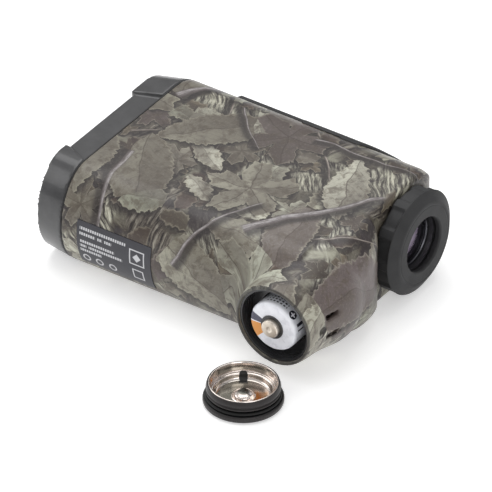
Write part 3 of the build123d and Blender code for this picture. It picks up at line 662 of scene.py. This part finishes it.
def film_coordinates(where):
    """Distances along the film in millimetres, so that the pattern wraps without stretching."""
    x, y, z = where.T
    # s runs along the body and t across it. Round its two ends t is the arc of the ellipse.
    t = y.copy()
    for beyond, centre, end, way in (
        (y < LOW_CENTRE, LOW_CENTRE, LOW_END, -1), (y > TOP_CENTRE, TOP_CENTRE, TOP_END, 1),
    ):
        turns, arc = quarter_arc(end)
        turn = np.arctan2(np.abs(z - MID) / HALF, np.maximum((y - centre) * way / end, 0))
        t[beyond] = centre + way * (arc[-1] - np.interp(turn[beyond], turns, arc))
    tip = LOW_CENTRE - quarter_arc(LOW_END)[1][-1]
    # Round the battery tube s is the tube's own arc.
    across = x - GRIP_X
    s_grip = GRIP_X + np.hypot(across, z - MID) * np.arctan2(across, z - MID)
    share = np.where(across > 0, smoothstep(-y, 14.0, 26.0),
                     smoothstep(across, -19.0, -13.0) * smoothstep(-y, 40.0, 48.0))
    # The rear wall carries on from the upper face, and the lower face from the low end.
    rear = x + smoothstep(x, 41.2, 42.0) * (THICK - z)
    lower = z < MID
    back_share = np.where(lower, smoothstep(x, 30.0, 37.0), 1.0)
    s = np.where(lower, x * (1 - back_share) + rear * back_share, rear)
    t = np.where(lower, (2 * tip - t) * (1 - back_share) + y * back_share, t)
    s = s * (1 - share) + s_grip * share
    t = t * (1 - share) + y * share
    return np.stack([s, t, np.zeros_like(s)], axis=1)


def store(obj, name, values):
    """Keeps a vector for each point, for a material to read."""
    data = obj.data.attributes.new(name, "FLOAT_VECTOR", "POINT")
    data.data.foreach_set("vector", values.astype(np.float32).ravel())


housing = skin("main_housing", "camo_housing", voxel=0.5, rounds=10, weight=housing_weight)
store(housing, "film", film_coordinates(points_of(housing.data)))
finish_piece(housing, "chassis", MATS["camo_shell"], ["main_housing"])


# --- bezel, pad --------------------------------------------------------------------------
def evenly(where):
    """Every point may be evened out."""
    return np.ones(len(where))


bezel = skin("front_bezel", "bezel_moulding", voxel=0.34, rounds=3, weight=evenly)
BEZEL = plastic("bezel_plastic", (0.040, 0.040, 0.042), 0.26, grain=1.6, depth=0.03, coat=0.25)
finish_piece(bezel, "chassis", BEZEL, ["front_bezel"])

pad = skin("top_pad", "pad_moulding", voxel=0.3, rounds=3, weight=evenly)
finish_piece(pad, "chassis", MATS["black_rubber"], ["top_pad"])


# --- eyepiece ----------------------------------------------------------------------------
X0, X1 = EYE_LOW[0], EYE_HIGH[0]
FLATS, FLAT_DEPTH, FLAT_LENGTH = 10, 0.75, 5.0


def scallops(along, radius, angle):
    """Shallow finger flats round the edge nearest the body."""
    if radius < EYECUP_R - 2.5:
        return along, radius
    local = (angle / (2 * math.pi) * FLATS) % 1.0 - 0.5
    flat = max(0.0, 1 - (local / 0.37) ** 2)
    reach = max(0.0, min(1.0, (X0 + FLAT_LENGTH - along) / 0.5))
    return along, radius - FLAT_DEPTH * min(1.0, flat * 2.4) * reach


eyecup_profile = rounded(
    [(X0, 11.65), (X0, EYECUP_R - 0.5, 0.3), (X0 + 0.6, EYECUP_R, 0.3), (X0 + 1.9, EYECUP_R, 0.1),
     (X0 + 4.45, EYECUP_R, 0.02), (X0 + 5.05, EYECUP_R, 0.02), (X1 - 1.9, EYECUP_R - 0.1, 0.8),
     (X1 - 0.1, EYECUP_R - 2.9, 0.5), (X1, 12.3, 0.2), (X1 - 0.12, 12.0, 0.1),
     (X1, 11.7, 0.1), (X1, 8.7, 0.5), (X1 - 0.5, 8.35, 0.2), (48.0, 8.35), (48.0, 11.65)],
    0.1)
eyecup = lathe("eyecup_rubber", "x", (0, 0, MID), eyecup_profile, 240, scallops)
EYECUP = rubber("eyecup_rubber", (0.025, 0.025, 0.026))
finish_piece(eyecup, "diopter", EYECUP, ["rubber_eyecup"])

cell_profile = rounded(
    [(35.2, 7.3), (35.2, 8.28), (45.2, 8.28, 0.2), (45.6, 8.0, 0.1), (45.6, 7.6, 0.1),
     (45.2, 7.32, 0.1), (44.9, 7.45), (44.6, 7.32), (44.4, 7.32)], 0.05)
ocular_cell = lathe("ocular_ring_mount", "x", (0, 0, MID), cell_profile, 200)
RING_BLACK = metal("ring_black", (0.09, 0.09, 0.10), 0.18)
finish_piece(ocular_cell, "ocular", RING_BLACK, ["ocular_cell"])


# --- battery -----------------------------------------------------------------------------
BLACK_INK = (0.02, 0.02, 0.03)
NAVY_INK = (0.03, 0.03, 0.07)
ORANGE_INK = (0.72, 0.27, 0.02)
PLUS_INK = (0.8, 0.8, 0.85)
SLEEVE_FACE, COLOUR_END = 0.75, 3.0  # how deep past the mouth the face print and colours reach


def wrap():
    """White shrink sleeve with a coloured wedge, dashes and a plus in a disc."""
    p = Paint("battery_wrap")
    x, y, z = p.split(p.place())
    dx, dz = x - GRIP_X, z - MID
    far = (dx * dx + dz * dz).root()
    angle = dz.atan2(dx)
    end = (y - (MOUTH + SLEEVE_FACE)).step(0.1, -0.1)
    cloud = p.noise(p.place(), 0.4, 3.0)
    tone = p.mix(cloud.step(0.3, 0.7), (0.74, 0.75, 0.80), (0.84, 0.85, 0.90))
    wedge = ((angle + 2.72).size()).step(0.38, 0.35)
    coloured = (y - (MOUTH + COLOUR_END)).step(0.1, -0.1)
    orange = wedge * (far - 3.7).step(-0.05, 0.05) * coloured
    navy_arc = ((angle - 2.98).size()).step(0.26, 0.23) * coloured
    tone = p.mix(navy_arc, tone, NAVY_INK)
    tone = p.mix(orange, tone, ORANGE_INK)
    ring = (far - 3.2).step(0.45, 0.35) * end
    tone = p.mix(ring, tone, BLACK_INK)
    # Dashes in rows round the sleeve, a short run of taller ones, and the plus in its disc.
    around = angle * CELL_R
    side = (far - (CELL_R - 1.0)).step(-0.05, 0.05)
    dash = (around * 5.5).sin().step(-0.5, 0.1) * (around - 11.8).size().step(3.5, 3.4)
    dash = dash * (y * 5.7).sin().step(-0.3, 0.3) * (y - (MOUTH + 4.3)).size().step(2.7, 2.6)
    glyph = (around * 3.3).sin().step(-0.2, 0.2) * (around - 1.9).size().step(1.5, 1.4)
    dash = dash.most(glyph * (y - (MOUTH + 2.9)).size().step(1.4, 1.3)) * side
    tone = p.mix(dash, tone, (0.03, 0.03, 0.04))
    px, py = around - 5.8, y - (MOUTH + 2.0)
    disc = (px * px + py * py).root()
    plus = px.size().least(py.size()).step(0.26, 0.18)
    plus = plus * px.size().most(py.size()).step(0.95, 0.85)
    tone = p.mix(disc.step(1.4, 1.3) * side, tone, BLACK_INK)
    tone = p.mix(plus * disc.step(1.4, 1.3) * side, tone, PLUS_INK)
    p.bump(cloud, 0.1, 0.1)
    return p.set(Base_Color=tone, Roughness=cloud * 0.12 + 0.22, Coat_Weight=0.4)


Y0, Y1 = CELL_LOW[1], CELL_HIGH[1]
cell_body = lathe(
    "battery_sleeve", "y", (GRIP_X, 0, MID),
    rounded([(Y0 + 0.02, 0, 0), (Y0 + 0.02, 3.6, 0.1), (Y0, 3.8, 0.1),
             (Y0, CELL_R, 1.3), (Y1, CELL_R, 0.7), (Y1, 0, 0)], 0.2, 8, closed=False),
    160, closed=False)
finish_piece(cell_body, "battery", wrap(), ["battery_cell"])
TERM_LOW, TERM_HIGH = span("battery_terminal")
TERM_R = (TERM_HIGH[0] - TERM_LOW[0]) / 2
terminal = lathe(
    "battery_nub", "y", (GRIP_X, 0, MID),
    rounded([(TERM_LOW[1] + 0.12, 0, 0), (TERM_LOW[1] + 0.12, 0.45, 0.1), (TERM_LOW[1], 0.9, 0.3),
             (TERM_LOW[1], TERM_R, 0.5), (TERM_HIGH[1], TERM_R, 0)],
            0.1, 4, closed=False), 120, closed=False)
NUB = metal("nub_nickel", (0.76, 0.69, 0.60), 0.26)
finish_piece(terminal, "battery", NUB, ["battery_terminal"])

# --- cap ---------------------------------------------------------------------------------
CAP_R = (CAP_HIGH[0] - CAP_LOW[0]) / 2
CAP_TOP = span("cap_contact_cup")[1][2]
FLUTES, FLUTE_DEPTH = 90, 0.08


def knurl(along, radius, angle):
    """Fine grip flutes round the cap's flange."""
    if radius > 11.2 and 0.5 < along < 2.0:
        radius -= FLUTE_DEPTH * (0.5 + 0.5 * math.cos(angle * FLUTES))
    return along, radius


cap_shell = lathe(
    "cap_moulding", "z", (CAP_X, CAP_Y, 0),
    rounded([(0, 0, 0), (0, CAP_R - 0.9, 0.2), (0.55, CAP_R, 0.4), (1.8, CAP_R, 0.3),
             (2.2, CAP_R - 0.4, 0.3), (2.2, 9.97), (3.5, 9.97), (3.7, 10.6, 0.15),
             (4.15, 10.7, 0.15), (4.4, 10.25, 0.1), (4.7, 10.25, 0.1), (5.0, 10.7, 0.15),
             (5.5, 10.68, 0.2), (CAP_TOP - 0.15, 10.3, 0.2), (CAP_TOP - 0.1, 10.15, 0.05),
             (CAP_TOP - 0.4, 10.1), (CAP_TOP - 0.4, 9.83), (3.4, 9.83), (3.4, 8.62),
             (1.38, 8.62), (1.38, 0, 0)], 0.1, 3, closed=False),
    360, knurl, closed=False)


def cap_black():
    """Black moulding, with painted shade that makes the flange's upper side and the groove above
    it near black.
    """
    p = Paint("cap_black")
    z = p.split(p.place())[2]
    fine = p.noise(p.place(), 2.2, 4.0, 0.65)
    # Painted shade: the flange's upper side and the groove are made near black.
    seat_shade = (z - 2.85).size().step(0.85, 0.65)
    tone = p.mix(fine.step(0.4, 0.8) * 0.4, (0.024, 0.021, 0.021), (0.040, 0.036, 0.035))
    tone = p.mix(seat_shade, tone, (0.002, 0.002, 0.0025))
    p.bump(fine, 0.3, 0.04)
    return p.set(Base_Color=tone, Roughness=fine * 0.1 + 0.30, Specular_IOR_Level=0.3)


finish_piece(cap_shell, "cap", cap_black(), ["cap_shell"])


NOTCH_COS, NOTCH_SIN = 0.823, 0.568  # the notch in the cup's wall lies 34.6 degrees from +Y


def cup_metal():
    """Nickel with a floor tarnished and painted with reflections, an amber painted reflection on
    it, a dark band high on the far wall, and painted shade for a notch in the wall.
    """
    p = Paint("cup_nickel")
    x, y, z = p.split(p.place())
    dx, dy = x - CAP_X, y - CAP_Y
    far = (dx * dx + dy * dy).root()
    away, side = dy * NOTCH_COS - dx * NOTCH_SIN, dx * NOTCH_COS + dy * NOTCH_SIN
    cloud = p.noise(p.place(), 0.35, 4.0, 0.65)
    tone = p.mix(cloud.step(0.4, 0.75) * 0.5, (0.72, 0.655, 0.61), (0.50, 0.45, 0.42))
    # The floor is tarnished and painted greenish-grey to brown across its width as a reflection;
    # the amber patch on it is a painted reflection.
    low = (far - 7.6).step(0.5, -0.5) * (z - 2.3).step(0.2, -0.2)
    amber_reflection = ((side - 5.3) * 0.55).size().most((away + 0.2).size() * 0.42).step(1.1, 0.5)
    floor_tone = p.mix(side.step(-1.0, 4.5), (0.31, 0.305, 0.265), (0.42, 0.37, 0.33))
    floor_tone = p.mix(amber_reflection * 0.85, floor_tone, (0.40, 0.215, 0.085))
    tone = p.mix(low * 0.9, tone, floor_tone)
    band = (z - CAP_TOP + 1.3).size().step(0.50, 0.28) * away.step(6.8, 8.4)
    band = band * (far - 9.9).step(0.1, -0.1)
    tone = p.mix(band * 0.75, tone, (0.10, 0.085, 0.07))
    # Painted shade: a matte dark spot stands in for the shade inside a notch in the wall, which is
    # not modelled.
    notch_side, notch_up = (side / 1.3).power(2.0), ((z - 2.75) / 1.15).size().power(2.0)
    notch = (notch_side * notch_side + notch_up * notch_up).step(1.0, 0.8)
    notch = notch * away.step(6.0, 6.6)
    tone = p.mix(notch, tone, (0.01, 0.009, 0.009))
    p.bump(p.noise(p.place(), 4.0, 3.0), 0.15, 0.02)
    return p.set(Base_Color=tone, Roughness=cloud * 0.15 + 0.08 + notch * 0.4,
                 Metallic=1.0 - notch)


cup = lathe(
    "cap_nickel_cup", "z", (CAP_X, CAP_Y, 0),
    rounded([(1.8, 0, 0), (1.8, 7.6, 0.5), (2.35, 8.2, 0.3), (3.5, 8.3, 0.25), (3.72, 8.7, 0.2),
             (3.74, 9.3, 0.2), (4.1, 9.42, 0.2), (CAP_TOP - 0.35, 9.5, 0.15),
             (CAP_TOP, 9.7, 0.1), (CAP_TOP, 9.95, 0.1), (CAP_TOP - 0.2, 10.08, 0.1),
             (CAP_TOP - 0.38, 10.08), (CAP_TOP - 0.38, 9.8), (3.42, 9.8), (3.42, 8.58),
             (1.42, 8.58), (1.42, 0, 0)], 0.1, 3, closed=False),
    200, closed=False)
finish_piece(cup, "cap", cup_metal(), ["cap_contact_cup"])


DOME_LOW, DOME_HIGH = span("cap_contact_dome")
DOME_R = (DOME_HIGH[0] - DOME_LOW[0]) / 2
dome = lathe(
    "cap_dome", "z", (CAP_X, CAP_Y, 0),
    rounded([(DOME_HIGH[2], 0, 0), (DOME_HIGH[2], 1.2, 0.6), (DOME_LOW[2] + 0.95, 2.75, 1.0),
             (DOME_LOW[2] + 0.05, 3.2, 0.3), (DOME_LOW[2] + 0.02, DOME_R, 0),
             (DOME_LOW[2], DOME_R, 0), (DOME_LOW[2], 0, 0)], 0.1, 6, closed=False),
    140, closed=False)


def dome_metal():
    """Nickel, with a painted dark reflection on the crown and a painted bright ring round it."""
    p = Paint("dome_nickel")
    x, y, _ = p.split(p.place())
    dx, dy = x - CAP_X, y - CAP_Y
    far = (dx * dx + dy * dy).root()
    cloud = p.noise(p.place(), 0.8, 3.0)
    # Painted reflection: the crown is painted dark and the rest bright.
    crown_reflection = far.step(2.2, 1.3)
    tone = p.mix(crown_reflection, (0.80, 0.72, 0.67), (0.10, 0.098, 0.086))
    p.bump(cloud, 0.1, 0.02)
    return p.set(Base_Color=tone, Roughness=cloud * 0.1 + 0.08 + crown_reflection * 0.15, Metallic=1.0)


finish_piece(dome, "cap", dome_metal(), ["cap_contact_dome"])


# --- label -------------------------------------------------------------------------------
# Left end, right end and height of each printed row, and the places of the rings, mm
LABEL_ROWS = ((1.0, 16.8, 13.2), (1.0, 12.0, 11.4), (1.0, 13.0, 8.8), (1.0, 15.6, 7.2),
              (1.0, 8.2, 5.6))
LABEL_RINGS = (2.6, 7.0, 11.6)


def label_print():
    """Near-black film printed with plain bars, three rings, a diamond and two squares."""
    p = Paint("label_print")
    u, v, _ = p.split(p.attribute("print"))
    tone = p.mix(p.noise(p.place(), 0.5, 4.0), (0.016, 0.016, 0.022), (0.030, 0.030, 0.040))
    ink = u * 0.0
    for left, right, level in LABEL_ROWS:
        row = (v - level).size().step(0.50, 0.42) * (u - left).step(-0.05, 0.05)
        row = row * (right - u).step(-0.05, 0.05)
        gap = p.noise(p.join((u * 1.25).whole(), level), 3.7, 0.0).step(0.30, 0.32)
        tick = (u * 8.0 + level).sin().step(-0.75, -0.5)
        ink = ink.most(row * gap * tick)
    for at in LABEL_RINGS:
        du, dv = u - at, v - 2.6
        ink = ink.most(((du * du + dv * dv).root() - 1.1).size().step(0.26, 0.18))
    # A diamond in a square, and a smaller square below it.
    du, dv = (u - 20.8).size(), (v - 10.2).size()
    ink = ink.most((du.most(dv) - 2.4).size().step(0.24, 0.16))
    ink = ink.most((du + dv).step(1.5, 1.3))
    dv = (v - 4.0).size()
    ink = ink.most((du.most(dv) - 1.7).size().step(0.24, 0.16))
    tone = p.mix(ink * 0.85, tone, (0.62, 0.62, 0.64))
    p.bump(ink, 0.15, 0.03)
    return p.set(Base_Color=tone, Roughness=ink * 0.1 + 0.34)


LABEL_LOW, LABEL_HIGH = span("label_plate")
LABEL_FACE, LABEL_BACK = 0.22, 0.02  # how far its two sides stand off the body, mm


def label_sheet():
    """A thin sheet wrapped on the rounded lower end of the body."""
    across, around = 60, 48
    z_low, z_high = LABEL_LOW[2], LABEL_HIGH[2]
    verts, prints, faces = [], [], []
    for proud in (LABEL_FACE, LABEL_BACK):
        for i in range(across + 1):
            for j in range(around + 1):
                z = z_low + (z_high - z_low) * j / around
                y = LOW_CENTRE - (LOW_END + proud) * math.sqrt(
                    max(0.0, 1 - ((z - MID) / (HALF + proud)) ** 2))
                x = LABEL_LOW[0] + (LABEL_HIGH[0] - LABEL_LOW[0]) * i / across
                verts.append((x * MM, y * MM, z * MM))
                prints.append((x - LABEL_LOW[0], z - z_low, 0))
    row = around + 1
    layer = (across + 1) * row
    for i in range(across):
        for j in range(around):
            a = i * row + j
            faces.append((a, a + 1, a + row + 1, a + row))
            faces.append((layer + a, layer + a + row, layer + a + row + 1, layer + a + 1))
    rim = (list(range(row)) + [i * row + around for i in range(1, across + 1)]
           + [across * row + j for j in range(around - 1, -1, -1)]
           + [i * row for i in range(across - 1, 0, -1)])
    for a, b in zip(rim, rim[1:] + rim[:1]):
        faces.append((a, a + layer, b + layer, b))
    mesh = bpy.data.meshes.new("label_sheet")
    mesh.from_pydata(verts, [], faces)
    data = mesh.attributes.new("print", "FLOAT_VECTOR", "POINT")
    data.data.foreach_set("vector", np.array(prints, np.float32).ravel())
    tidy_mesh(mesh)
    return soften(new_object("label_sheet", mesh))


finish_piece(label_sheet(), "chassis", label_print(), ["label_plate"])

# --- every other CAD node keeps its shape ------------------------------------------------
# Two of them look unlike the rest of their slot.
# The seal ring is made near black as painted shade for the groove it sits in.
OWN = {"cap_seal_ring": rubber("seal_painted_shade_rubber", (0.003, 0.003, 0.003)),
       "ocular_lens": glass("ocular_glass", (0.60, 0.50, 0.66), 0.35)}
slots = {s["node"]: s["material_slot"] for s in frame["record"]["subparts"]}
for name, node in NODES.items():
    if node.hide_render:  # one of the pieces above stands for it
        continue
    node.data.materials.clear()
    node.data.materials.append(OWN.get(name, MATS[slots[name]]))
    node.data.shade_smooth()
    node.data.set_sharp_from_angle(angle=SHARP_CAD)

# --- floor, light, camera ----------------------------------------------------------------
FLOOR_DROP = 0.00005  # keeps the floor clear of the faces that rest on it
floor_mesh = bpy.data.meshes.new("floor")
floor_mesh.from_pydata([(-3, -3, 0), (3, -3, 0), (3, 3, 0), (-3, 3, 0)], [], [(0, 1, 2, 3)])
floor = new_object("floor", floor_mesh)
floor_paint = Paint("floor")
floor_tone = floor_paint.noise(floor_paint.place(), 0.004, 2.0)
floor.data.materials.append(
    floor_paint.set(
        Base_Color=floor_paint.mix(floor_tone, (0.80, 0.80, 0.80), (0.84, 0.84, 0.84)),
        Roughness=floor_tone * 0.1 + 0.8, Emission_Color=(1.0, 1.0, 1.0), Emission_Strength=0.40))
floor.location.z = -FLOOR_DROP


TARGET = Vector((8.3, -29.2, 16.4)) * MM  # the middle of the picture


def area_light(name, where, size, power):
    """A square white light turned to the object."""
    light = bpy.data.lights.new(name, "AREA")
    light.shape = "RECTANGLE"
    light.size = light.size_y = size
    light.energy = power
    obj = new_object(name, light)
    obj.location = where
    obj.rotation_euler = (TARGET - Vector(where)).to_track_quat("-Z", "Y").to_euler()


area_light("overhead", (-0.25, 0.25, 0.9), 0.9, 5.5)
area_light("left_front", (-0.9, -0.45, 0.55), 0.7, 2.6)
area_light("right", (0.8, -0.6, 0.5), 0.6, 2.2)

world = bpy.data.worlds.new("studio")
bpy.context.scene.world = world
world.use_nodes = True
sky = world.node_tree
sky_ramp = sky.nodes.new("ShaderNodeValToRGB")
sky_up = sky.nodes.new("ShaderNodeSeparateXYZ")
sky_place = sky.nodes.new("ShaderNodeTexCoord")
sky.links.new(sky_place.outputs["Generated"], sky_up.inputs[0])
sky.links.new(sky_up.outputs[2], sky_ramp.inputs[0])
sky.links.new(sky_ramp.outputs[0], sky.nodes["Background"].inputs["Color"])
for element, (at, level) in zip(sky_ramp.color_ramp.elements, ((0.0, 0.35), (0.45, 1.0))):
    element.position = at
    element.color = (level, level, level, 1)
sky.nodes["Background"].inputs["Strength"].default_value = 0.62
bpy.context.scene.view_settings.view_transform = "Standard"

# The photograph's angle and a long lens from far off, fitted to the edges of its outline
AZIMUTH, ELEVATION = math.radians(34.6), math.radians(35.0)
DISTANCE, SENSOR, LENS = 4.5, 36.0, 1158.0  # metres, then millimetres
back = Vector((math.sin(AZIMUTH) * math.cos(ELEVATION), -math.cos(AZIMUTH) * math.cos(ELEVATION),
               math.sin(ELEVATION)))
camera_data = bpy.data.cameras.new("camera")
camera_data.sensor_width = SENSOR
camera_data.lens = LENS
camera_data.clip_start, camera_data.clip_end = 0.05, 20.0
camera = new_object("camera", camera_data)
camera.location = TARGET + back * DISTANCE
camera.rotation_euler = (-back).to_track_quat("-Z", "Y").to_euler()
bpy.context.scene.camera = camera
